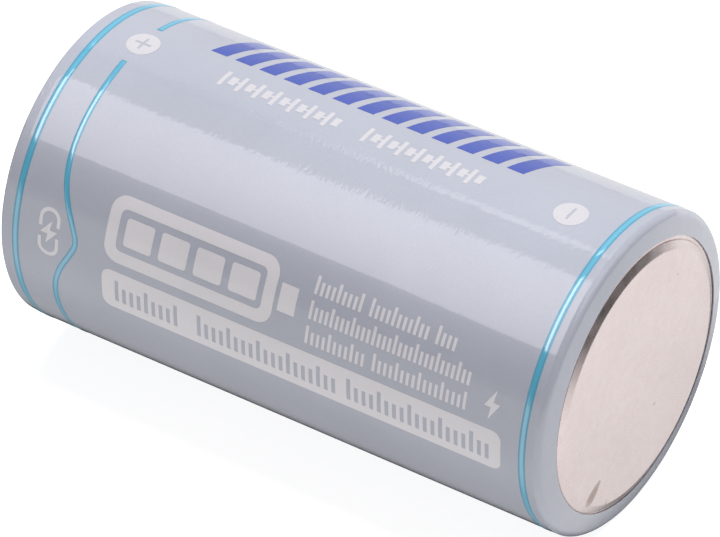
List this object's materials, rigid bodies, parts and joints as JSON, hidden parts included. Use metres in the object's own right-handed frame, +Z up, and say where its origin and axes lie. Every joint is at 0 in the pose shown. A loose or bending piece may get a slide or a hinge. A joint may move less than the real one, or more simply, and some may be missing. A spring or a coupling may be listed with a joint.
{
  "type": "cylindrical battery cell",
  "caption": "C-size cylindrical rechargeable cell lying on its side: printed sleeve over a steel can, raised nub contact, flat disc contact and a USB-C charging port in the end.",
  "frame": {"origin": "centre of the flat negative contact face; the cell lies on its side, so its lowest line is 12.8 mm below", "axes": "+X out of the negative contact face along the cell's axis, with the positive contact at -X; +Z up; -Y the side with the printed face"},
  "size_m": [0.05, 0.0256, 0.0256],
  "materials": {
    "printed_sleeve": "glossy silver-grey shrink film with printed lines and signs",
    "can_nickel": "nickel-plated drawn steel, fine grain, satin",
    "end_cap_plastic": "moulded plastic, fine matt texture",
    "contact_nickel": "nickel-plated steel, softly polished",
    "post_brass": "turned brass",
    "port_steel": "drawn stainless steel",
    "port_plastic": "black moulded insulator",
    "light_pipe_clear": "clear moulded pipe",
    "board_laminate": "green glass-epoxy laminate",
    "inductor_ferrite": "moulded ferrite",
    "chip_epoxy": "moulded epoxy",
    "capacitor_ceramic": "sintered ceramic",
    "lamp_resin": "clear yellowish resin",
    "holder_plastic": "moulded plastic",
    "pad_foam": "closed-cell foam",
    "cell_wrap_film": "blue shrink film",
    "cell_steel": "nickel-plated drawn steel",
    "gasket_polymer": "natural polypropylene",
    "vent_aluminium": "stamped aluminium",
    "electrode_foil": "coated foils and separator, wound",
    "mandrel_steel": "drawn steel tube",
    "insulator_sheet": "pressed insulating sheet",
    "strip_nickel": "nickel strip",
    "strip_aluminium": "aluminium strip"
  },
  "bodies": {
    "root": {"label_sleeve": "printed_sleeve", "outer_can": "can_nickel", "end_cap": "end_cap_plastic", "positive_contact": "contact_nickel", "contact_post": "post_brass", "light_pipe": "light_pipe_clear", "port_shell": "port_steel", "port_tongue": "port_plastic", "main_pcb": "board_laminate", "converter_inductor": "inductor_ferrite", "converter_chip": "chip_epoxy", "charger_chip": "chip_epoxy", "protection_mosfet": "chip_epoxy", "input_capacitor": "capacitor_ceramic", "output_capacitor": "capacitor_ceramic", "status_lamp": "lamp_resin", "ground_clip": "strip_nickel", "pcb_carrier": "holder_plastic", "cell_holder": "holder_plastic", "foam_pad": "pad_foam", "battery_negative_tab": "strip_nickel", "battery_positive_tab": "strip_nickel", "cell_wrap": "cell_wrap_film", "cell_can": "cell_steel", "cell_gasket": "gasket_polymer", "cell_top_cap": "cell_steel", "vent_disc": "vent_aluminium", "jelly_roll": "electrode_foil", "centre_mandrel": "mandrel_steel", "lower_insulator": "insulator_sheet", "upper_insulator": "insulator_sheet", "anode_tab": "strip_nickel", "cathode_tab": "strip_aluminium"}
  },
  "joints": []
}
